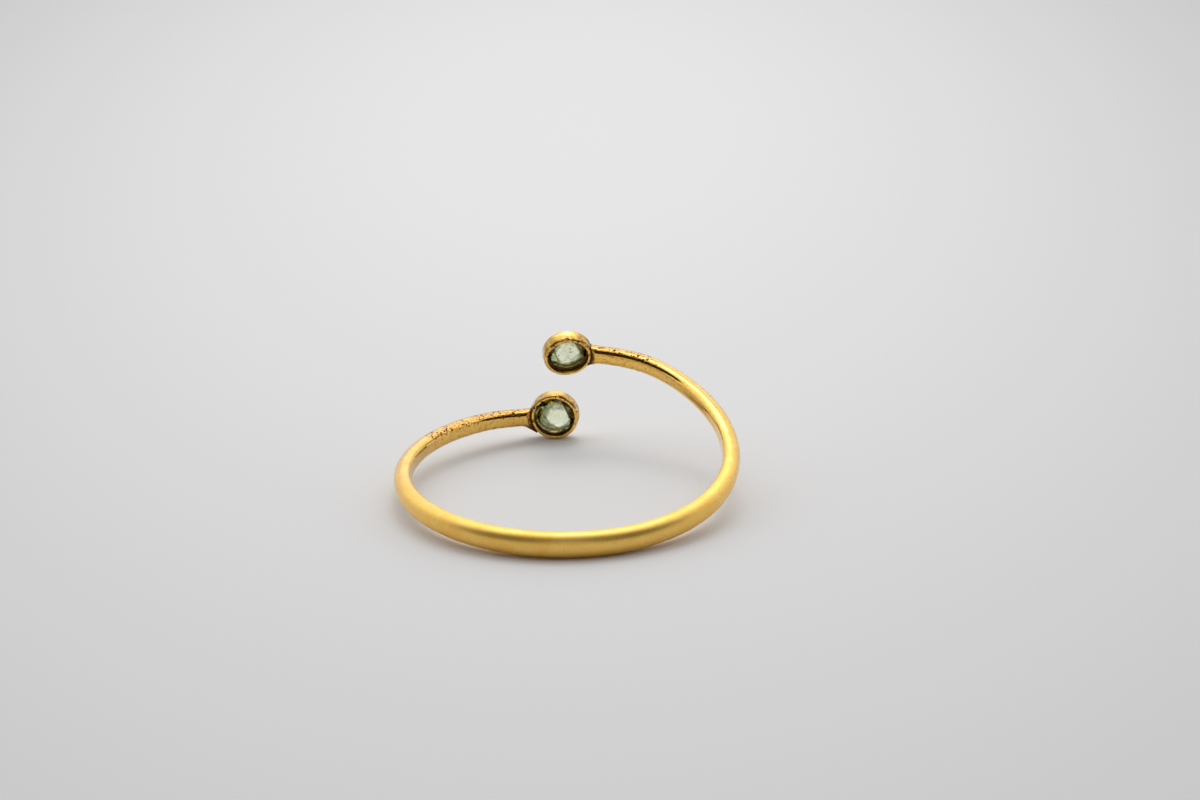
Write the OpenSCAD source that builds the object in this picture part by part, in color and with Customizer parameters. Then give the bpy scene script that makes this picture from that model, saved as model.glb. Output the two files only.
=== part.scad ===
// Open bypass ring, lying on its side as it comes to rest. A half-round band goes once
// round the finger, its two arms pass one above the other, and each arm ends in an
// open-backed bezel that holds a round brilliant-cut stone.
// Millimetres. Z is up, -Y is the back of the band and +Y is the side with the stones.

/* [Band] */
// Diameter of the finger hole
finger_d = 17.4; // [14:0.1:22]
// How far each arm has sprung outwards by its end
arm_spring = 0.2; // [0:0.05:0.5]
// How much further the last of each arm is bent out, to meet the side of its bezel
arm_bend = 0.33; // [0:0.01:0.5]
// Width of the band at the back, along the finger
back_w = 1.45; // [1.2:0.05:2.5]
// Width of the arms
arm_w = 0.97; // [0.8:0.01:2]
// Thickness of the band at the back
back_t = 1.0; // [0.8:0.05:1.5]
// Thickness of the arms
arm_t = 0.96; // [0.7:0.01:1.4]

/* [Bezels] */
// Diameter of a bezel where its domed wall is widest
bezel_d = 2.86; // [2.8:0.01:3.6]
// Diameter of a bezel over its back rim
bezel_rim_d = 2.77; // [2.6:0.01:2.86]
// Depth of a bezel from its back rim to its front lip
bezel_h = 0.9; // [0.9:0.05:1.6]
// Rounding of the back rim's outer edge
back_round = 0.06; // [0.04:0.01:0.12]
// How far the front is rounded in, where the lip is rubbed over the stone
lip_round = 0.36; // [0.1:0.01:0.4]
// Diameter of a bezel's open back
bezel_back_d = 2.38; // [2:0.01:2.42]
// Diameter of the hole in the ledge that the stone sits on
bezel_ledge_d = 2.28; // [1.6:0.01:2.34]
// Diameter of the opening inside a bezel's front lip
bezel_lip_d = 1.7; // [1.6:0.01:2.2]

/* [Stones] */
// Diameter of a stone over its girdle
stone_d = 2.45; // [2.3:0.01:2.5]
// Diameter of the table, the flat on a stone's front
table_d = 1.1; // [1:0.02:1.6]
// Height of the crown, from the girdle to the table
crown_h = 0.4; // [0.2:0.01:0.42]
// Depth of the pavilion, from the girdle to the point
pavilion_h = 0.52; // [0.4:0.01:0.53]
// Thickness of the girdle
girdle_t = 0.06; // [0.04:0.01:0.1]
// Gap between a stone and its bezel
seat_gap = 0.02; // [0.01:0.01:0.05]

/* [Rest] */
// Tilt of the ring about X where it lies on the lower bezel and the back of the band
rest_tilt = 7.97; // [0:0.01:15]
// Lean of the ring about Y as it lies
rest_lean = 1.29; // [-3:0.01:3]
// Height of the finger hole's centre above the floor
rest_height = 1.985; // [1.5:0.001:3]
// Shift that puts the middle of the ring's depth over the origin
rest_shift = -0.222; // [-1:0.001:1]

/* [Hidden] */
$fn = 96;

gold = [0.83, 0.66, 0.36];
pale_green = [0.72, 0.8, 0.58, 0.7];

finger_r = finger_d / 2;
over = 1; // how far a cutter runs past what it cuts

// How high the middle of the band stands, a row each 30 degrees round the finger, from the
// lower arm's end over the back of the band at 0 to the upper arm's end.
// Columns: angle, rise.
ANGLE = 0;
RISE = 1;
band_rise = [
    [-180, -2.19],
    [-150, -1.66],
    [-120, -1.28],
    [-90, -0.85],
    [-60, -0.43],
    [-30, -0.13],
    [0, 0],
    [30, 0.04],
    [60, 0.17],
    [90, 0.57],
    [120, 1.3],
    [150, 2.06],
    [180, 2.01]
];
rise_step = band_rise[1][ANGLE] - band_rise[0][ANGLE];

// Where the two bezels sit and how they face.
// Columns: angle round the finger, rise, tilt of the front upwards, turn of the front to -X.
TILT = 2;
TURN = 3;
upper_bezel = [179.9, 2.14, 15, 7];
lower_bezel = [-175.75, -1.89, -3.7, -4.4];
bezel_ring_r = 9.35; // from the finger hole's axis to the middle of a bezel

// The band runs this far round at each end, into the wall of its bezel, and each arm is
// bent out from this angle on.
band_start = -168.2;
band_end = 172.3;
bend_from = 135;
slices = 86; // sections along the band
section_points = 24; // points round a section
flat_corner = 2.8; // how square the section is on the finger side
dome_corner = 2.4; // and on the domed outside
finger_skin = 0.03; // what the finger hole takes off the section's finger side
rim_proud = 0.03; // how far a bezel's back rim stands over the filed joint

// Heights over the middle of a bezel: a stone's girdle, the back of the ledge under it, and
// the widest place of the domed wall.
girdle_z = 0.05;
ledge_z = -0.08;
widest_z = 0.21;

// Where a stone's facets meet: the table's flat edge, the foot of the star facets round it,
// and the tip of the pavilion's half facets, as distances from the stone's axis.
stone_r = stone_d / 2;
table_edge = table_d / 2 * cos(22.5);
star_foot = (table_edge + stone_r) / 2;
half_tip = 0.25 * stone_r;
half_reach = stone_r * cos(11.25);
main_slope = atan2(crown_h, (stone_d - table_d) / 2);
pavilion_slope = atan2(pavilion_h, stone_r);

// Height over the girdle where two main facets meet, and the slope of the half facets
// that end there.
function meet_z(slope, r) = (stone_r - r * cos(22.5)) * tan(slope);
function half_slope(slope, r) = atan2(meet_z(slope, r), half_reach - r * cos(11.25));
star_slope = atan2(crown_h - meet_z(main_slope, star_foot), star_foot - table_edge);
crown_half_slope = half_slope(main_slope, star_foot);
pavilion_half_slope = half_slope(pavilion_slope, half_tip);

// Cuts that shape a stone from a plain round disc.
// Columns: facets in the row, angle from the girdle plane, turn of the first one,
// distance from the axis that the row's planes reach on the girdle plane.
COUNT = 0;
SLOPE = 1;
FIRST = 2;
REACH = 3;
crown_cuts = [
    [8, main_slope, 0, stone_r],
    [8, star_slope, 22.5, table_edge + crown_h / tan(star_slope)],
    [16, crown_half_slope, 11.25, half_reach]
];
pavilion_cuts = [
    [8, pavilion_slope, 0, stone_r],
    [16, pavilion_half_slope, 11.25, half_reach]
];

// Rise of the band's middle at an angle: a smooth curve through the rows.
function rise_row(i) = band_rise[max(0, min(len(band_rise) - 1, i))][RISE];
function smooth(p0, p1, p2, p3, f) = p1 + f / 2 * (p2 - p0
    + f * (2 * p0 - 5 * p1 + 4 * p2 - p3 + f * (3 * p1 - p0 - 3 * p2 + p3)));
function rise(a) = let (u = (a - band_rise[0][ANGLE]) / rise_step, i = floor(u))
    smooth(rise_row(i - 1), rise_row(i), rise_row(i + 1), rise_row(i + 2), u - i);

// Distance of the band's finger side from the axis. On the stone side each arm follows a
// larger circle that leaves the finger's circle smoothly at the widest point, and its last
// part is bent out a little more.
function bend(a) = arm_bend * (max(0, abs(a) - bend_from) / (180 - bend_from)) ^ 2;
function inner_r(a) = cos(a) > 0 ? finger_r : bend(a)
    + sqrt((finger_r + arm_spring) ^ 2 - (arm_spring * cos(a)) ^ 2) - arm_spring * abs(sin(a));

// The band is full at the back and slims down to the arms.
function taper(a) = cos(a / 2) ^ 4;
function band_w(a) = arm_w + (back_w - arm_w) * taper(a);
function band_t(a) = arm_t + (back_t - arm_t) * taper(a);

// A power that keeps the sign, for rounded square outlines.
function soft(v, corner) = sign(v) * abs(v) ^ (2 / corner);

// One point of the band's section, as [distance from the axis, height]: nearly flat with
// round corners towards the finger, domed on the outside.
function section_point(a, turn) = let (
    outside = cos(turn) > 0,
    corner = outside ? dome_corner : flat_corner,
    middle = 0.38 * band_t(a),
    reach = outside ? band_t(a) - middle : middle + finger_skin)
    [inner_r(a) + middle + reach * soft(cos(turn), corner),
        rise(a) + band_w(a) / 2 * soft(sin(turn), corner)];

function around(a, p) = [p[0] * sin(a), -p[0] * cos(a), p[1]];

// Lays the ring down as it rests by itself.
module at_rest() {
    translate([0, rest_shift, rest_height]) rotate([rest_tilt, rest_lean, 0]) children();
}

// Puts what is drawn round Z, front upwards, at a bezel's place.
module at_bezel(place) {
    translate(around(place[ANGLE], [bezel_ring_r, place[RISE]]))
        rotate([place[TILT] - 90, 0, place[TURN]]) children();
}

// The bent band, before its finger side is trued.
module band_blank() {
    n = section_points;
    angles = [for (i = [0 : slices]) band_start + (band_end - band_start) * i / slices];
    points = [for (a = angles, k = [0 : n - 1]) around(a, section_point(a, 360 * k / n))];
    sides = [for (i = [0 : slices - 1], k = [0 : n - 1])
        let (here = i * n + k, next = i * n + (k + 1) % n)
        each [[here, next, here + n], [next, next + n, here + n]]];
    ends = [[for (k = [n - 1 : -1 : 0]) k], [for (k = [0 : n - 1]) slices * n + k]];
    polyhedron(points, concat(sides, ends));
}

// The band with its finger side trued, and filed down behind each bezel's back rim, which
// stands a little proud of the joint.
module band() {
    difference() {
        band_blank();
        translate([0, 0, -bezel_d]) cylinder(r = finger_r, h = 2 * bezel_d);
        for (place = [upper_bezel, lower_bezel])
            at_bezel(place) translate([0, 0, rim_proud - bezel_h / 2 - over])
                cylinder(d = bezel_d, h = over);
    }
}

// A bezel's outer form: a short drum with a domed wall, widest towards the front, a crisp
// back rim and a front that is rounded well in.
module bezel_blank() {
    r = bezel_d / 2;
    rim_r = bezel_rim_d / 2;
    h = bezel_h / 2;
    back_z = -h + back_round;
    rotate_extrude() polygon(concat(
        [[0, -h]],
        [for (k = [0 : 4]) [rim_r - back_round, back_z]
            + back_round * [sin(22.5 * k), -cos(22.5 * k)]],
        [for (k = [1 : 5]) let (z = back_z + (widest_z - back_z) * k / 6)
            [r - (r - rim_r) * ((widest_z - z) / (widest_z - back_z)) ^ 2, z]],
        [for (k = [0 : 8]) [r - lip_round + lip_round * cos(11.25 * k),
            widest_z + (h - widest_z) * sin(11.25 * k)]],
        [[0, h]]
    ));
}

// The room for a stone: open at the back as far as a ledge, a seat on the ledge that
// follows the pavilion, and a front lip that leans in over the crown.
module bezel_hollow() {
    h = bezel_h / 2;
    back_r = bezel_back_d / 2;
    ledge_r = bezel_ledge_d / 2;
    seat_r = stone_d / 2 + seat_gap;
    seat_z = girdle_z - seat_gap;
    lip_r = bezel_lip_d / 2;
    lip_z = girdle_z + girdle_t + seat_gap;
    rotate_extrude() polygon([
        [0, -h - over],
        [back_r, -h - over],
        [back_r, ledge_z],
        [ledge_r, ledge_z],
        [ledge_r, seat_z - (seat_r - ledge_r) * tan(pavilion_half_slope)],
        [seat_r, seat_z],
        [seat_r, lip_z],
        [lip_r, lip_z + (seat_r - lip_r) * tan(crown_half_slope)],
        [lip_r, h + over],
        [0, h + over]
    ]);
}

// The facets of a table of cuts, one by one: slope, turn, distance from the stone's axis.
function facets(rows) = [for (row = rows, i = [0 : row[COUNT] - 1])
    [row[SLOPE], row[FIRST] + 360 * i / row[COUNT], row[REACH]]];

// A block that keeps everything under one facet's plane.
module under_facet(facet) {
    block = 4 * stone_d;
    rotate([0, 0, facet[1]]) translate([facet[2], 0, 0]) rotate([0, facet[0], 0])
        translate([-block / 2, -block / 2, -block]) cube(block);
}

// A round brilliant: table and crown above the girdle, pavilion below.
module stone() {
    translate([0, 0, girdle_z]) intersection() {
        translate([0, 0, -pavilion_h])
            cylinder(d = stone_d, h = pavilion_h + girdle_t + crown_h);
        translate([0, 0, girdle_t])
            intersection_for (facet = facets(crown_cuts)) under_facet(facet);
        mirror([0, 0, 1])
            intersection_for (facet = facets(pavilion_cuts)) under_facet(facet);
    }
}

// The band with both bezels soldered to its ends.
module band_and_bezels() {
    color(gold) at_rest() difference() {
        union() {
            band();
            at_bezel(upper_bezel) bezel_blank();
            at_bezel(lower_bezel) bezel_blank();
        }
        at_bezel(upper_bezel) bezel_hollow();
        at_bezel(lower_bezel) bezel_hollow();
    }
}

module upper_stone() {
    color(pale_green) at_rest() at_bezel(upper_bezel) stone();
}

module lower_stone() {
    color(pale_green) at_rest() at_bezel(lower_bezel) stone();
}

band_and_bezels();
upper_stone();
lower_stone();
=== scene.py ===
from math import asin, atan, cos, pi, radians, sin, sqrt, tan

import bmesh
import bpy
from mathutils import Matrix, Vector, noise


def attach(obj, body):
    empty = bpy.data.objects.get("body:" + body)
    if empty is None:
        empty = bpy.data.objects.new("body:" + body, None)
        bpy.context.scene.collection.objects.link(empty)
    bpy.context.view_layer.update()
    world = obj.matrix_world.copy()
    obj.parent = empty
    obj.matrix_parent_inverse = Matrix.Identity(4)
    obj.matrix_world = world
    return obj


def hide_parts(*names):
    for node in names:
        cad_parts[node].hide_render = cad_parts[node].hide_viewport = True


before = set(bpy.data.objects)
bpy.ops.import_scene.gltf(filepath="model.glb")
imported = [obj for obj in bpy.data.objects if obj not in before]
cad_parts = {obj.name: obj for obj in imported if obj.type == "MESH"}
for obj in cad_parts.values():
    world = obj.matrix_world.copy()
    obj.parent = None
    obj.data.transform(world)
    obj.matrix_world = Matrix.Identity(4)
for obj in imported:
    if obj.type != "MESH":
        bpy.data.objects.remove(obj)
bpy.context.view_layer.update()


# ---- Band ----------------------------------------------------------------------------
# One gilt half-round wire, nearly flat to the finger and domed outside, bent once round
# the finger. Full at the back, it is drawn thinner to two arms that pass one above the
# other, and each arm's end is soldered to the side of its bezel.

mm = 0.001
finger_r, band_middle_r = 8.7 * mm, 9.2 * mm
arm_spring = 0.2 * mm
back_w, arm_w = 1.45 * mm, 0.97 * mm
back_t, arm_t = 1.0 * mm, 0.96 * mm
section_middle = 0.38  # of the thickness, from the finger
flat_corner, dome_corner = 2.8, 2.4
finger_skin = 0.03 * mm
band_start, band_end = -169.2, 173.3
arm_bend, bend_from = 0.33 * mm, 135.0
# Height of the band's middle each 30 degrees, from the lower arm's end to the upper one's
rise_every = 30
band_rise = [-2.19, -1.66, -1.28, -0.85, -0.43, -0.13, 0.0, 0.04, 0.17, 0.57, 1.3, 2.06, 2.01]

# Columns: angle round the finger, rise, tilt of the front upwards, turn of the front to -X
upper_place = (179.9, 2.14 * mm, 15.0, 7.0)
lower_place = (-175.75, -1.89 * mm, -3.7, -4.4)
bezel_ring_r = 9.35 * mm
bezel_r, rim_r, bezel_half = 1.43 * mm, 1.385 * mm, 0.45 * mm
rim_proud = 0.03 * mm

# The ring as it lies by itself, on the lower bezel and the back of the band
at_rest = (Matrix.Translation((0, -0.222 * mm, 1.985 * mm))
           @ Matrix.Rotation(radians(1.29), 4, "Y") @ Matrix.Rotation(radians(7.97), 4, "X"))


def rise(angle):
    """Height of the band's middle: a smooth curve through the rows."""
    u = (angle + 180) / rise_every
    i = int(u // 1)
    p0, p1, p2, p3 = (band_rise[max(0, min(len(band_rise) - 1, k))] for k in range(i - 1, i + 3))
    f = u - i
    return mm * (p1 + f / 2 * (p2 - p0 + f * (2 * p0 - 5 * p1 + 4 * p2 - p3
                                              + f * (3 * p1 - p0 - 3 * p2 + p3))))


def inner_r(angle):
    """The back half follows the finger; each arm leaves it and its last part is bent out."""
    c, s = cos(radians(angle)), sin(radians(angle))
    if c > 0:
        return finger_r
    bend = arm_bend * (max(0.0, abs(angle) - bend_from) / (180 - bend_from)) ** 2
    return bend + sqrt((finger_r + arm_spring) ** 2 - (arm_spring * c) ** 2) - arm_spring * abs(s)


def around(angle, r, height):
    return Vector((r * sin(radians(angle)), -r * cos(radians(angle)), height))


def bezel_matrix(place):
    """Where a bezel drawn round Z, front upwards, sits on the lying ring."""
    angle, height, tilt, turn = place
    return (at_rest @ Matrix.Translation(around(angle, bezel_ring_r, height))
            @ Matrix.Rotation(radians(turn), 4, "Z") @ Matrix.Rotation(radians(tilt - 90), 4, "X"))


def ease(v):
    """A soft step from 0 to 1."""
    v = max(0.0, min(1.0, v))
    return v * v * (3 - 2 * v)


def soft(v, corner):
    """A sine or cosine drawn out, so that the round it makes has fuller corners."""
    return (1 if v > 0 else -1) * abs(v) ** (2 / corner)


# Solder fills the corner between each arm and its bezel. Columns: how far it is drawn out
# along the arm, how thick it lies over and under the arm where the bezel's wall begins
upper_solder = (0.42 * mm, 0.09 * mm, 0.15 * mm)
lower_solder = (0.52 * mm, 0.03 * mm, 0.30 * mm)
solder_from = 150.0
filed_reach = 0.14 * mm
upper_at, lower_at = bezel_matrix(upper_place), bezel_matrix(lower_place)
to_upper, to_lower = upper_at.inverted(), lower_at.inverted()
# The arm ends inside the bezel's wall, short of its back and front
in_wall_r, in_wall_back, in_wall_front = 1.27 * mm, -0.9 * bezel_half, 0.85 * bezel_half


def bezel_gap(local):
    """How far a point in a bezel's own space is from the bezel's wall."""
    return local.xy.length - rim_r


def band_point(angle, turn):
    """One point of the skin, turn in radians round its section, and the solder over it."""
    taper = cos(radians(angle / 2)) ** 4
    w, t = arm_w + (back_w - arm_w) * taper, arm_t + (back_t - arm_t) * taper
    outside = cos(turn) > 0
    middle = section_middle * t
    reach = t - middle if outside else middle + finger_skin
    corner = dome_corner if outside else flat_corner
    r = max(finger_r, inner_r(angle) + middle + reach * soft(cos(turn), corner))
    half = w / 2 * soft(sin(turn), corner)
    if abs(angle) < solder_from:
        return at_rest @ around(angle, r, rise(angle) + half), 0.0
    length, over, under = upper_solder if angle > 0 else lower_solder
    there, back = (to_upper, upper_at) if angle > 0 else (to_lower, lower_at)
    gap = bezel_gap(there @ (at_rest @ around(angle, inner_r(angle) + t / 2, rise(angle))))
    solder = (over if half > 0 else under) * max(0.0, 1 - gap / length) ** 1.2 * abs(2 * half / w)
    height = rise(angle) + half + (solder if half > 0 else -solder)
    local = there @ (at_rest @ around(angle, r, height))
    # The joint is filed down to the bezel's back rim
    below = rim_proud - bezel_half - local.z
    if below > 0:
        local.z += below * ease(1.15 - bezel_gap(local) / filed_reach)
    if local.xy.length < in_wall_r:
        local.xy *= in_wall_r / local.xy.length
        local.z = max(in_wall_back, min(in_wall_front, local.z))
    return back @ local, solder


long_wave, short_wave, short_share = 1.3 * mm, 0.42 * mm, 0.45


def hand_finish(bm, depth, seed):
    """Filing and polishing by hand leave a skin that is never quite true."""
    bm.normal_update()
    moved = []
    for v in bm.verts:
        wave = (noise.noise(v.co / long_wave + Vector((seed, 0, 0)))
                + short_share * noise.noise(v.co / short_wave + Vector((0, seed, 0))))
        moved.append(v.co + v.normal * wave * depth)
    for v, co in zip(bm.verts, moved):
        v.co = co


def finish_piece(bm, name, material):
    mesh = bpy.data.meshes.new(name)
    bmesh.ops.recalc_face_normals(bm, faces=bm.faces)
    for face in bm.faces:
        face.smooth = True
    bm.to_mesh(mesh)
    bm.free()
    piece = bpy.data.objects.new(name, mesh)
    bpy.context.collection.objects.link(piece)
    mesh.materials.append(material)
    return piece


def new_material(name):
    material = bpy.data.materials.new(name)
    material.use_nodes = True
    nodes = material.node_tree.nodes
    nodes.clear()
    return material, nodes, material.node_tree.links


def feed(tree, socket, value):
    """Sets a node's input to a plain value, or links it to another node's output."""
    if isinstance(value, bpy.types.NodeSocket):
        tree.links.new(value, socket)
    else:
        socket.default_value = (*value, 1) if socket.type == "RGBA" else value


def math(tree, operation, a, b, clamp=False):
    node = tree.nodes.new("ShaderNodeMath")
    node.operation, node.use_clamp = operation, clamp
    feed(tree, node.inputs[0], a)
    feed(tree, node.inputs[1], b)
    return node.outputs[0]


def plus(tree, a, b, clamp=False):
    return math(tree, "ADD", a, b, clamp)


def minus(tree, a, b, clamp=False):
    return math(tree, "SUBTRACT", a, b, clamp)


def times(tree, a, b, clamp=False):
    return math(tree, "MULTIPLY", a, b, clamp)


def vector_math(tree, operation, a, b=None):
    node = tree.nodes.new("ShaderNodeVectorMath")
    node.operation = operation
    feed(tree, node.inputs[0], a)
    if b is not None:
        feed(tree, node.inputs["Scale" if operation == "SCALE" else 1], b)
    return node.outputs["Value" if operation in ("LENGTH", "DOT_PRODUCT") else "Vector"]


def ramp(tree, value, low, high, to_low=0.0, to_high=1.0):
    """A soft step from to_low to to_high as the value goes from low to high."""
    node = tree.nodes.new("ShaderNodeMapRange")
    node.interpolation_type = "SMOOTHSTEP"
    for name, given in (("Value", value), ("From Min", low), ("From Max", high),
                        ("To Min", to_low), ("To Max", to_high)):
        feed(tree, node.inputs[name], given)
    return node.outputs["Result"]


def blend(tree, factor, a, b):
    node = tree.nodes.new("ShaderNodeMix")
    node.data_type = "RGBA"
    for name, given in (("Factor_Float", factor), ("A_Color", a), ("B_Color", b)):
        feed(tree, next(i for i in node.inputs if i.identifier == name), given)
    return next(o for o in node.outputs if o.identifier == "Result_Color")


def cloud(tree, vector, scale, detail, roughness=0.55):
    node = tree.nodes.new("ShaderNodeTexNoise")
    for name, given in (("Vector", vector), ("Scale", scale), ("Detail", detail),
                        ("Roughness", roughness)):
        feed(tree, node.inputs[name], given)
    return node.outputs["Fac"]


def dots(tree, vector, scale):
    """Scattered dots: the distance from the nearest, and chance values of its own."""
    cells = tree.nodes.new("ShaderNodeTexVoronoi")
    feed(tree, cells.inputs["Scale"], scale)
    feed(tree, cells.inputs["Vector"], vector)
    own = tree.nodes.new("ShaderNodeSeparateColor")
    feed(tree, own.inputs["Color"], cells.outputs["Color"])
    return cells.outputs["Distance"], own.outputs


def stretched(tree, vector, scale):
    node = tree.nodes.new("ShaderNodeMapping")
    node.inputs["Scale"].default_value = scale
    feed(tree, node.inputs["Vector"], vector)
    return node.outputs["Vector"]


gilding_light, gilding_deep = (0.965, 0.63, 0.150), (0.93, 0.57, 0.115)
# Copper spots show rubbed gilding, and on the bezels' backs they also paint a shade band
copper_and_shade_spots, score_brown = (0.52, 0.21, 0.036), (0.55, 0.28, 0.055)
# Tarnish colours, which on the bezels also paint shade
tarnish_shade_brown, tarnish_shade_black = (0.17, 0.085, 0.018), (0.045, 0.023, 0.007)
tarnish_shade_olive, pit_brown = (0.30, 0.21, 0.040), (0.105, 0.042, 0.011)
# Grains in a metre
broad_grain, mottle_grain, fine_grain = 900, 2600, 7500
line_grain = (900, 15000, 1)  # along and across the metal
# Columns: pits in a metre, how much chance it takes to be one, width of the largest
pit_kinds = ((3700, 0.52, 0.55), (7200, 0.40, 0.70))
pit_bends, pit_bent_by = 0.9, 0.9  # bends in one pit's width, and how many widths they go
# How strongly each mark shows in the colour, the roughness and the relief
spots_show, scores_show, olive_shows = 0.80, 0.35, 0.60
broad_rough, worn_rough, spoilt_rough = 0.06, 0.09, 0.28
fine_relief, line_relief, mottle_relief, pit_relief = 0.30, 0.20, 0.8, 1.6
relief_depth = 0.016 * mm
lacquer, lacquer_lost, lacquer_rough, lacquer_ior = 0.4, 0.6, 0.10, 1.5


def worn_gilding():
    """The finish that all the gilt metal shares: colour, roughness, lacquer and relief."""
    tree = bpy.data.node_groups.new("worn_gilding", "ShaderNodeTree")
    for name, kind in (("Tarnish_and_shade", "NodeSocketFloat"), ("Pitting_and_shade", "NodeSocketFloat"),
                       ("Satin", "NodeSocketFloat"), ("Lay", "NodeSocketVector")):
        tree.interface.new_socket(name, in_out="INPUT", socket_type=kind)
    for name, kind in (("Color", "NodeSocketColor"), ("Roughness", "NodeSocketFloat"),
                       ("Coat", "NodeSocketFloat"), ("Height", "NodeSocketFloat")):
        tree.interface.new_socket(name, in_out="OUTPUT", socket_type=kind)
    given, put = tree.nodes.new("NodeGroupInput"), tree.nodes.new("NodeGroupOutput")
    # On the bezels the Tarnish and Pitting inputs also carry painted shade
    tarnish_and_shade, pitting_and_shade = given.outputs["Tarnish_and_shade"], given.outputs["Pitting_and_shade"]

    place = tree.nodes.new("ShaderNodeTexCoord").outputs["Object"]
    broad = cloud(tree, place, broad_grain, 3)
    mottle = cloud(tree, place, mottle_grain, 4, 0.6)
    fine = cloud(tree, place, fine_grain, 5, 0.68)

    # Polishing lines that follow the metal, a few of them deeper
    lines = cloud(tree, stretched(tree, given.outputs["Lay"], line_grain), 1.0, 4, 0.7)
    scored = ramp(tree, lines, 0.60, 0.74)

    # Pits left by the soldering, in groups, none quite round. On the bezels' backs more pits are
    # drawn as part of a painted shade band
    pits = 0.0
    for scale, least, largest in pit_kinds:
        push = tree.nodes.new("ShaderNodeTexNoise")
        feed(tree, push.inputs["Vector"], place)
        feed(tree, push.inputs["Scale"], scale * pit_bends)
        shift = vector_math(tree, "SCALE", push.outputs["Color"], pit_bent_by / scale)
        distance, chance = dots(tree, vector_math(tree, "ADD", place, shift), scale)
        size = ramp(tree, chance["Red"], least, 1.0, 0.0, largest)
        pits = math(tree, "MAXIMUM", pits, ramp(tree, minus(tree, size, distance), 0.0, 0.2))
    grouped = ramp(tree, plus(tree, times(tree, pitting_and_shade, 0.9), mottle), 0.68, 1.0)
    pits = times(tree, pits, grouped, clamp=True)

    # Where the gilding is rough the copper of the brass shows through in reddish spots. On the
    # bezels' backs they also paint an orange-brown shade band
    rubbed = ramp(tree, plus(tree, times(tree, pitting_and_shade, 0.12), fine), 0.52, 0.68)
    rubbed = times(tree, rubbed, spots_show)

    # Tarnish creeps out of the crevices with a ragged edge, blackest at their bottom. On the
    # bezels the same input also carries painted shade
    ragged = plus(tree, tarnish_and_shade, times(tree, minus(tree, mottle, 0.5), 0.8))
    dark = times(tree, ramp(tree, ragged, 0.25, 0.65), ramp(tree, tarnish_and_shade, 0.0, 0.15))
    tarnish_shade = blend(tree, ramp(tree, ragged, 0.55, 1.0), tarnish_shade_brown, tarnish_shade_black)
    olive = times(tree, ramp(tree, mottle, 0.52, 0.66), olive_shows)
    tarnish_shade = blend(tree, olive, tarnish_shade, tarnish_shade_olive)

    color = blend(tree, ramp(tree, broad, 0.36, 0.66), gilding_light, gilding_deep)
    color = blend(tree, rubbed, color, copper_and_shade_spots)
    color = blend(tree, times(tree, scored, scores_show), color, score_brown)
    color = blend(tree, dark, color, tarnish_shade)
    color = blend(tree, pits, color, pit_brown)
    feed(tree, put.inputs["Color"], color)

    rough = plus(tree, given.outputs["Satin"], times(tree, broad, broad_rough))
    rough = plus(tree, rough, times(tree, plus(tree, scored, rubbed), worn_rough))
    spoilt = times(tree, plus(tree, dark, pits), spoilt_rough)
    feed(tree, put.inputs["Roughness"], plus(tree, rough, spoilt, clamp=True))
    # A thin clear lacquer keeps the gilding from rubbing off, and is gone where it is spoilt
    bare = times(tree, math(tree, "MAXIMUM", dark, pits), lacquer_lost)
    feed(tree, put.inputs["Coat"], minus(tree, lacquer, bare, clamp=True))

    height = plus(tree, times(tree, fine, fine_relief), times(tree, lines, line_relief))
    height = plus(tree, height, times(tree, mottle, times(tree, pitting_and_shade, mottle_relief)))
    feed(tree, put.inputs["Height"], minus(tree, height, times(tree, pits, pit_relief)))
    return tree


gilding = worn_gilding()


def gilt_material(name, bump):
    """Gilt brass. The mesh says where it is tarnished, pitted and dulled, and where shade is
    painted.
    """
    material, nodes, links = new_material(name)
    finish = nodes.new("ShaderNodeGroup")
    finish.node_tree = gilding
    for socket in ("Tarnish_and_shade", "Pitting_and_shade", "Satin"):
        read = nodes.new("ShaderNodeAttribute")
        read.attribute_name = socket.lower()
        links.new(read.outputs["Fac"], finish.inputs[socket])
    lay = nodes.new("ShaderNodeUVMap")
    lay.uv_map = "lay"
    links.new(lay.outputs["UV"], finish.inputs["Lay"])
    raised = nodes.new("ShaderNodeBump")
    raised.inputs["Strength"].default_value = bump
    raised.inputs["Distance"].default_value = relief_depth
    links.new(finish.outputs["Height"], raised.inputs["Height"])
    gold = nodes.new("ShaderNodeBsdfPrincipled")
    gold.inputs["Metallic"].default_value = 1.0
    gold.inputs["Coat Roughness"].default_value = lacquer_rough
    gold.inputs["Coat IOR"].default_value = lacquer_ior
    links.new(finish.outputs["Color"], gold.inputs["Base Color"])
    links.new(finish.outputs["Roughness"], gold.inputs["Roughness"])
    links.new(finish.outputs["Coat"], gold.inputs["Coat Weight"])
    links.new(raised.outputs["Normal"], gold.inputs["Normal"])
    links.new(gold.outputs["BSDF"], nodes.new("ShaderNodeOutputMaterial").inputs["Surface"])
    return material


def wear_and_shade_layers(bm):
    """What the points keep: the place along and across the metal, and its three kinds of wear,
    which on the bezels also carry painted shade.
    """
    return [bm.verts.layers.float.new(name)
            for name in ("along", "across", "tarnish_and_shade", "pitting_and_shade", "satin")]


section_points = 72
band_girth = 3.2 * mm
bm = bmesh.new()
turn_of = bm.verts.layers.int.new("turn")
along_of, across_of, tarnish_of, pitting_of, satin_of = wear_and_shade_layers(bm)

bmesh.ops.create_circle(bm, cap_ends=False, segments=section_points, radius=mm)
for k, v in enumerate(bm.verts):
    v[turn_of] = k
    v[across_of] = band_girth * k / section_points

# The arms are tarnished next to the joints and pitted for some way from them, most on top.
# The back is dulled to a satin and has no pits.
wear_from, out_of_reach = 120, 20 * mm
tarnish_reach = 0.12 * mm
upper_pitted, lower_pitted = 4.2 * mm, 7.5 * mm
side_worn, top_worn, under_worn, back_spared = 0.22, 0.78, 0.35, 0.5
arm_satin, back_satin = 0.02, 0.40


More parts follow.
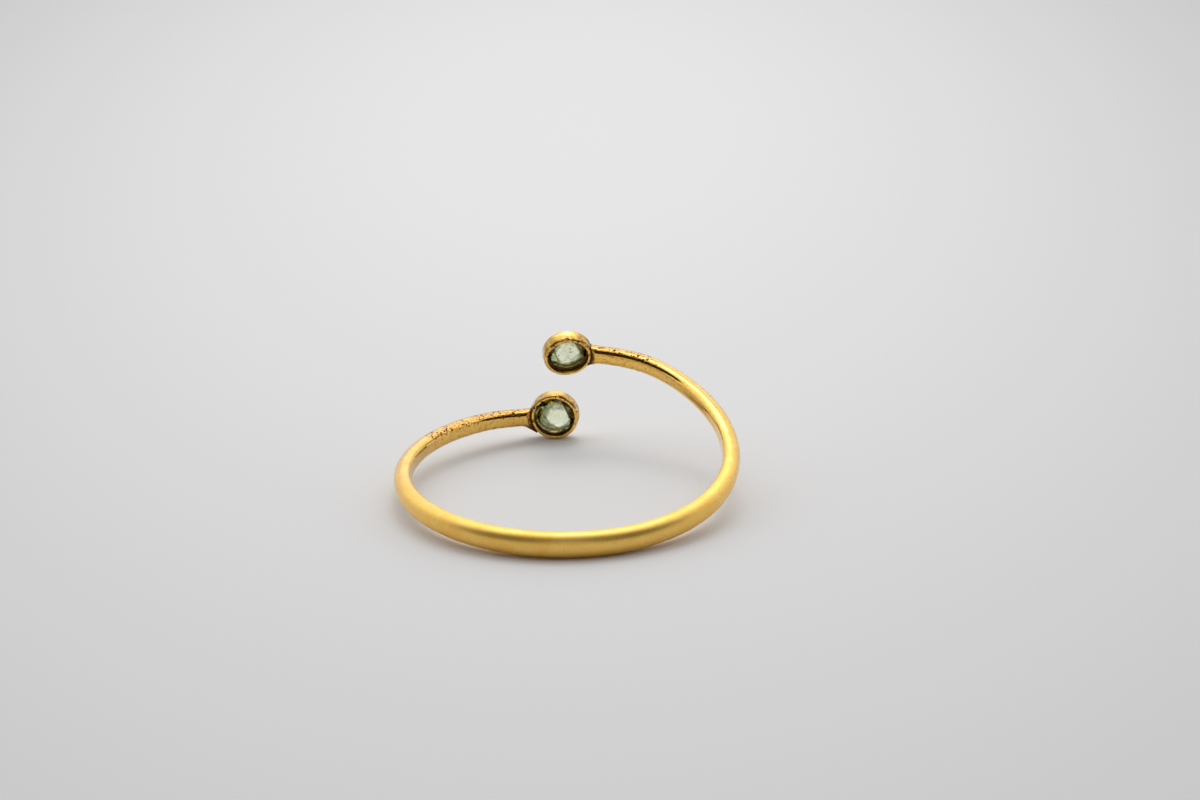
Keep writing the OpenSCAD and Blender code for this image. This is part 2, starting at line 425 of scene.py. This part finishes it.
def place_ring(verts, angle):
    """Moves a fresh ring of the skin to its place and notes how that place has worn."""
    there, pitted = (to_upper, upper_pitted) if angle > 0 else (to_lower, lower_pitted)
    near_back = ease((cos(radians(angle)) + 0.45) / 1.1)
    for v in verts:
        turn = 2 * pi * v[turn_of] / section_points
        v.co, solder = band_point(angle, turn)
        v[along_of] = radians(angle) * band_middle_r
        gap = bezel_gap(there @ v.co) if abs(angle) > wear_from else out_of_reach
        v[tarnish_of] = max(ease(1.1 - gap / tarnish_reach),
                            0.8 * ease(solder / tarnish_reach - 0.2))
        top, under = ease((sin(turn) - 0.2) / 0.5), ease((-sin(turn) - 0.3) / 0.5)
        worn = side_worn + top_worn * top + under_worn * under
        v[pitting_of] = ease(1.25 - gap / pitted) * worn - back_spared * near_back
        v[satin_of] = arm_satin + back_satin * near_back


close_to_end, short_step, long_step = 30, 0.4, 1.0
angles = [band_start]
while angles[-1] < band_end:
    close = min(angles[-1] - band_start, band_end - angles[-1]) < close_to_end
    angles.append(min(band_end, angles[-1] + (short_step if close else long_step)))
place_ring(bm.verts, angles[0])
edges = list(bm.edges)
first = list(edges)
for angle in angles[1:]:
    grown = bmesh.ops.extrude_edge_only(bm, edges=edges)["geom"]
    ring = [g for g in grown if isinstance(g, bmesh.types.BMVert)]
    place_ring(ring, angle)
    fresh = set(ring)
    edges = [g for g in grown if isinstance(g, bmesh.types.BMEdge)
             and g.verts[0] in fresh and g.verts[1] in fresh]
bmesh.ops.holes_fill(bm, edges=first + edges, sides=0)

# A map in metres, along and across the metal
lay = bm.loops.layers.uv.new("lay")
for face in bm.faces:
    far = max(v[across_of] for v in face.verts)
    for loop in face.loops:
        y = loop.vert[across_of]
        loop[lay].uv = (loop.vert[along_of], y + band_girth if far - y > band_girth / 2 else y)
hand_finish(bm, 0.008 * mm, 3.0)
band = finish_piece(bm, "gilt_band", gilt_material("gilt_wire", 0.25))
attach(band, "root")
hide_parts("band_and_bezels")


# ---- Bezels --------------------------------------------------------------------------
# Two short gilt tubes, open at the back to let light through the stone. Each has a
# ledge under the stone's girdle, and its front edge is rubbed over the crown. They were
# soldered to the arms before the gilding.

seat_r, back_r, ledge_r, lip_r = 1.245 * mm, 1.19 * mm, 1.14 * mm, 0.85 * mm
widest_z, ledge_z, seat_z, over_girdle_z = 0.21 * mm, -0.08 * mm, 0.03 * mm, 0.13 * mm
lip_round = 0.36 * mm
filed_r = 1.36 * mm  # the back rim is filed a little smaller than the wall
swell = 2.4
pavilion_slope, crown_slope = radians(23.9), radians(35.6)
wall_steps, round_steps, edge_steps = 8, 144, 6


def domed_wall(steps):
    """The wall's outside from the back rim to the front, as (distance from the axis, height)."""
    depth = widest_z + bezel_half
    swelling = [(bezel_r - (bezel_r - filed_r) * ((depth - depth * k / steps) / depth) ** swell,
                 -bezel_half + depth * k / steps) for k in range(steps)]
    rubbed = [(bezel_r - lip_round + lip_round * cos(pi / 2 * k / steps),
               widest_z + (bezel_half - widest_z) * sin(pi / 2 * k / steps))
              for k in range(steps + 1)]
    return swelling + rubbed


# The wall's outline, from the open back out and round to the front and back inside
bezel_wall = [(back_r, -bezel_half)] + domed_wall(wall_steps) + [
    (lip_r, bezel_half),
    (lip_r, over_girdle_z + (seat_r - lip_r) * tan(crown_slope)),
    (seat_r, over_girdle_z),
    (seat_r, seat_z),
    (ledge_r, seat_z - (seat_r - ledge_r) * tan(pavilion_slope)),
    (ledge_r, ledge_z),
    (back_r, ledge_z),
    (back_r, (ledge_z - bezel_half) / 2),
]
# Edges that wear or filing has rounded. Columns: distance from the axis, height, rounding
worn_edges = [
    (back_r, -bezel_half, 0.020 * mm),
    (filed_r, -bezel_half, 0.145 * mm),
    (lip_r, bezel_half, 0.020 * mm),
    (ledge_r, ledge_z, 0.020 * mm),
]
gilt_bezel = gilt_material("gilt_bezel", 0.20)
# How dark the tarnish and the painted shade and how thick the pits are at most in each place
joint_tarnish, inside_tarnish_and_shade, filed_rim_shade = 0.8, 0.70, 0.50
front_edge_shade, wall_side_shade = 0.40, 0.42
joint_pits, front_pits, back_pits_and_shade = 0.45, 0.5, 0.6
bezel_satin = 0.04


def past(value, start, width):
    """A soft step from 0 to 1 as the value goes past start."""
    return ease((value - start) / width)


def make_bezel(name, place, toward_arm, seed):
    """A bezel spun round its axis, then laid in its place. Its arm is at toward_arm * X."""
    bm = bmesh.new()
    chain = [bm.verts.new((r, 0, z)) for r, z in bezel_wall]
    edges = [bm.edges.new((a, b)) for a, b in zip(chain, chain[1:] + chain[:1])]
    bmesh.ops.spin(bm, geom=chain + edges, cent=(0, 0, 0), axis=(0, 0, 1), angle=2 * pi,
                   steps=round_steps, use_merge=True)
    bmesh.ops.remove_doubles(bm, verts=bm.verts, dist=1e-8)
    for r, z, rounding in worn_edges:
        hoop = [e for e in bm.edges if all(
            abs(v.co.xy.length - r) < 1e-7 and abs(v.co.z - z) < 1e-7 for v in e.verts)]
        bmesh.ops.bevel(bm, geom=hoop, affect="EDGES", offset=rounding, segments=edge_steps,
                        profile=0.5, material=-1, clamp_overlap=True)
    bmesh.ops.recalc_face_normals(bm, faces=bm.faces)
    along, across, tarnish_and_shade, pitting_and_shade, satin = wear_and_shade_layers(bm)
    for v in bm.verts:
        r, z = v.co.xy.length, v.co.z
        # The arm joins at the side; tarnish sits in that corner. Tarnish with painted shade fills
        # the inside
        side = abs(v.co.y) / r if v.co.x * toward_arm > 0 else 1.0
        joint = ease(1 - (side - 0.35) / 0.08) * past(r, 1.33 * mm, 0.05 * mm)
        inside = past(-r, -1.205 * mm, 0.012 * mm) * past(z, -0.43 * mm, 0.06 * mm)
        inside *= past(-z, 0.002 * mm - bezel_half, 0.02 * mm)
        # The half that faces up gets more painted shade than the half below, at the back and the
        # front
        upper = 0.35 + 0.65 * ease((0.3 - v.co.y / r) / 0.8)
        # Painted shade darkens the front edge of the wall, which is also pitted
        front = past(z, 0.20 * mm, 0.12 * mm) * past(r, 1.05 * mm, 0.2 * mm)
        # Painted shade: a dark line round the outside near the filed back rim
        filed = ease(1.2 - abs(z + 0.34 * mm) / (0.10 * mm)) * past(r, 1.25 * mm, 0.05 * mm)
        # Painted shade: an orange-brown band at the back of the wall, drawn as pits and copper
        # spots
        back = past(-z, 0.18 * mm, 0.12 * mm)
        # A painted brown shade lies over the whole wall, fullest at its two sides
        wall = past(r, 1.30 * mm, 0.05 * mm) * ease((v.co.x ** 2 / r ** 2 + 0.25) / 0.5)
        # The tarnish and pitting layers carry this painted shade as well as real tarnish and pits
        v[tarnish_and_shade] = max(joint_tarnish * joint, inside_tarnish_and_shade * inside, wall_side_shade * wall,
                         filed_rim_shade * filed * upper, front_edge_shade * front * upper)
        v[pitting_and_shade] = max(joint_pits * ease(1 - (side - 0.30) / 0.6), front_pits * front,
                         back_pits_and_shade * back * upper)
        v[satin] = bezel_satin
        v[along], v[across] = r * 0.2 + z, asin(max(-1.0, min(1.0, v.co.y / r))) * bezel_r
    # The polishing lines go round the wall
    lay = bm.loops.layers.uv.new("lay")
    for face in bm.faces:
        for loop in face.loops:
            loop[lay].uv = (loop.vert[across], loop.vert[along])
    bmesh.ops.transform(bm, matrix=place, verts=bm.verts)
    hand_finish(bm, 0.009 * mm, seed)
    piece = finish_piece(bm, name, gilt_bezel)
    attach(piece, "root")
    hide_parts("band_and_bezels")


make_bezel("upper_bezel", upper_at, 1, 11.0)
make_bezel("lower_bezel", lower_at, -1, 23.0)


# ---- Stones --------------------------------------------------------------------------
# Two round brilliants of clear pale green glass, cut with a table, crown and pavilion
# facets and polished. The CAD solids have every facet, so they stay and get the glass.

glass_index = 1.65
glass_green, green_density = (0.74, 0.90, 0.0, 1), 240.0
clear_pale, clear_white = (0.93, 0.97, 0.88), (1.0, 1.0, 0.96)
# Painted shade: dark and olive colours for the stones' dark facet reflections towards the setting
painted_shade_dark, painted_shade_olive = (0.075, 0.075, 0.028), (0.36, 0.39, 0.20)
curl_green, speck_dark = (0.40, 0.43, 0.26), (0.16, 0.17, 0.12)
# Grains, specks and curls in a metre
silk_grain, fleck_grain, shade_grain, speck_grain, curl_grain = 1500, 5200, 1150, 3300, 2400
shade_edge, shade_strays = 0.13 * mm, 0.7 * mm


def stone_glass(name, unshaded_at, axis, unshaded_r):
    """Glass that is clear round one line through the stone, with painted dark and olive
    reflections towards the setting.
    """
    material, nodes, links = new_material(name)
    tree = material.node_tree
    glass = nodes.new("ShaderNodeBsdfPrincipled")
    glass.inputs["Metallic"].default_value = 0.0
    glass.inputs["Transmission Weight"].default_value = 1.0
    glass.inputs["IOR"].default_value = glass_index
    place = nodes.new("ShaderNodeTexCoord").outputs["Object"]
    silk = cloud(tree, place, silk_grain, 4)
    flecks = cloud(tree, place, fleck_grain, 3)
    clear = blend(tree, silk, clear_pale, clear_white)
    # Painted shade: dark and olive reflections are painted on the glass away from the clear part
    from_line = vector_math(tree, "CROSS_PRODUCT",
                            vector_math(tree, "SUBTRACT", place, unshaded_at), axis)
    ragged = plus(tree, vector_math(tree, "LENGTH", from_line),
                  times(tree, minus(tree, silk, 0.5), shade_strays))
    shade_patches = ramp(tree, cloud(tree, place, shade_grain, 1), 0.40, 0.50, 0.72, 1.0)
    painted_shade = times(tree, ramp(tree, ragged, unshaded_r, unshaded_r + shade_edge), shade_patches)
    shade_color = blend(tree, ramp(tree, flecks, 0.42, 0.64), painted_shade_dark, painted_shade_olive)
    tint = blend(tree, times(tree, painted_shade, 0.95), clear, shade_color)
    # Fine curls of polish and scratches
    curls = math(tree, "ABSOLUTE", minus(tree, cloud(tree, place, curl_grain, 2), 0.5), 0.0)
    tint = blend(tree, ramp(tree, curls, 0.022, 0.0, 0.0, 0.55), tint, curl_green)
    # A few dark specks on the facets, and none in most places
    distance, chance = dots(tree, place, speck_grain)
    speck = times(tree, ramp(tree, distance, 0.22, 0.14), ramp(tree, chance["Green"], 0.52, 0.56))
    feed(tree, glass.inputs["Base Color"], blend(tree, speck, tint, speck_dark))
    feed(tree, glass.inputs["Roughness"], ramp(tree, silk, 0.2, 0.8, 0.0, 0.03))
    depth = nodes.new("ShaderNodeVolumeAbsorption")
    depth.inputs["Color"].default_value = glass_green
    depth.inputs["Density"].default_value = green_density
    out = nodes.new("ShaderNodeOutputMaterial")
    links.new(glass.outputs["BSDF"], out.inputs["Surface"])
    links.new(depth.outputs["Volume"], out.inputs["Volume"])
    return material


# Columns: stone, its bezel's place, how far right and down of the middle the glass is
# clearest of painted shade, how wide the clear part is
for name, at, unshaded_middle, unshaded_r in (
        ("upper_stone", upper_at, (0.0, -0.08 * mm, 0.0), 0.57 * mm),
        ("lower_stone", lower_at, (0.22 * mm, 0.08 * mm, 0.0), 0.48 * mm)):
    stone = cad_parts[name]
    own = stone.matrix_world.inverted() @ at
    glass = stone_glass("pale_green_" + name, own @ Vector(unshaded_middle), own.col[2].xyz, unshaded_r)
    for entry in stone.material_slots:
        entry.material = glass


# ---- Paper and light -----------------------------------------------------------------
# A wide sheet of pale paper lies under the ring. A window high behind it throws the soft
# shadows. The room is pale all round and brightest overhead, and dark to the left and
# right of the camera, where the arms get their dark lines from.

paper_half = 3.0
# Painted light: the paper's colour goes from lit to shaded away from a pool behind the ring
paper_in_light, paper_in_shade = (0.90, 0.90, 0.905), (0.47, 0.47, 0.47)
light_pool_shift, light_pool_narrow = (0, -0.075, 0), (7.4, 3.3, 1.0)
bm = bmesh.new()
bmesh.ops.create_grid(bm, x_segments=1, y_segments=1, size=paper_half)
pale_paper, nodes, links = new_material("pale_paper")
tree = pale_paper.node_tree
sheet = nodes.new("ShaderNodeBsdfPrincipled")
sheet.inputs["Specular IOR Level"].default_value = 0.2
place = nodes.new("ShaderNodeTexCoord").outputs["Object"]
# Painted pool of light: the paper is whitest 75 mm behind the ring, and painted duller away from
# there
light_pool = nodes.new("ShaderNodeTexGradient")
light_pool.gradient_type = "SPHERICAL"
feed(tree, light_pool.inputs["Vector"],
     stretched(tree, vector_math(tree, "ADD", place, light_pool_shift), light_pool_narrow))
feed(tree, sheet.inputs["Base Color"],
     blend(tree, ramp(tree, light_pool.outputs["Fac"], 0.2, 1.0), paper_in_shade, paper_in_light))
feed(tree, sheet.inputs["Roughness"],
     ramp(tree, cloud(tree, place, 2500, 3), 0.3, 0.7, 0.7, 0.8))
links.new(sheet.outputs["BSDF"], nodes.new("ShaderNodeOutputMaterial").inputs["Surface"])
paper = finish_piece(bm, "paper", pale_paper)

# Radiance is what the metal mirrors
window_azimuth, window_elevation, window_off = radians(6), radians(62), 0.8
window_size, window_radiance = 0.33, 1.9
window = bpy.data.lights.new("window", "AREA")
window.shape, window.size = "DISK", window_size
window.energy = window_radiance * pi * (pi / 4 * window_size * window_size)
window.color = (1.0, 0.99, 0.98)
lamp = bpy.data.objects.new("window", window)
bpy.context.collection.objects.link(lamp)
back = Vector((sin(window_azimuth) * cos(window_elevation),
               cos(window_azimuth) * cos(window_elevation), sin(window_elevation)))
lamp.location = back * window_off
lamp.rotation_euler = back.to_track_quat("Z", "Y").to_euler()

room_low, room_high = (0.80, 0.80, 0.81), (1.18, 1.18, 1.20)
# Soft ovals in the surroundings. Columns: azimuth to the right of straight behind, elevation,
# how far from its middle it is full and where it ends, its height over its width, colour
ovals = (
    (4, 30, 6, 15, 0.70, (1.30, 1.29, 1.27)),
    (-72, 46, 8, 22, 0.60, (1.25, 1.24, 1.22)),
    (-6, 62, 4, 14, 0.30, (1.90, 1.89, 1.87)),
    (180, 64, 8, 24, 0.50, (0.48, 0.47, 0.46)),
    (180, 24, 34, 46, 0.55, (0.58, 0.57, 0.56)),
    (136, 28, 31, 38, 1.2, (0.030, 0.026, 0.023)),
    (-136, 28, 31, 38, 1.2, (0.030, 0.026, 0.023)),
)
room = bpy.data.worlds.new("room")
room.use_nodes = True
tree = room.node_tree
tree.nodes.clear()
towards = tree.nodes.new("ShaderNodeTexCoord").outputs["Generated"]
height = tree.nodes.new("ShaderNodeSeparateXYZ")
feed(tree, height.inputs["Vector"], towards)
color = blend(tree, ramp(tree, height.outputs["Z"], 0.1, 0.95), room_low, room_high)
for azimuth, elevation, core, edge, tall, shade in ovals:
    turned = tree.nodes.new("ShaderNodeVectorRotate")
    turned.rotation_type = "Z_AXIS"
    feed(tree, turned.inputs["Vector"], towards)
    feed(tree, turned.inputs["Angle"], radians(azimuth))
    narrowed = vector_math(tree, "NORMALIZE",
                           stretched(tree, turned.outputs["Vector"], (tall, 1.0, 1.0)))
    middle = (0, cos(radians(elevation)), sin(radians(elevation)))
    near = vector_math(tree, "DOT_PRODUCT", narrowed, middle)
    oval = ramp(tree, near, cos(radians(edge)), cos(radians(core)))
    color = blend(tree, oval, color, shade)
background = tree.nodes.new("ShaderNodeBackground")
feed(tree, background.inputs["Color"], color)
tree.links.new(background.outputs["Background"],
               tree.nodes.new("ShaderNodeOutputWorld").inputs["Surface"])
bpy.context.scene.world = room
bpy.context.scene.view_settings.view_transform = "Standard"
bpy.context.scene.view_settings.look = "None"


# ---- Camera --------------------------------------------------------------------------
# It looks over the back of the band to the open backs of the bezels, from 200 mm off and
# 28.75 degrees above the ring's own plane.

camera_e = radians(28.75)
camera_d = 200 * mm
sensor = 36.0
picture_w, picture_h = 1200, 800
focal_px = 3579.7
ring_px = (566.74, 462.99)  # where the middle of the finger hole shows
lens = bpy.data.cameras.new("camera")
lens.sensor_width = sensor
lens.lens = focal_px / picture_w * sensor
lens.clip_start, lens.clip_end = 0.01, 20.0
camera = bpy.data.objects.new("camera", lens)
bpy.context.collection.objects.link(camera)
off = Matrix.Translation((0, -camera_d * cos(camera_e), camera_d * sin(camera_e)))
facing = Matrix(((1, 0, 0),
                 (0, sin(camera_e), -cos(camera_e)),
                 (0, cos(camera_e), sin(camera_e)))).to_4x4()
camera.matrix_world = (
    at_rest @ off @ facing
    @ Matrix.Rotation(-atan((picture_w / 2 - ring_px[0]) / focal_px), 4, "Y")
    @ Matrix.Rotation(atan((ring_px[1] - picture_h / 2) / focal_px), 4, "X"))
bpy.context.scene.camera = camera
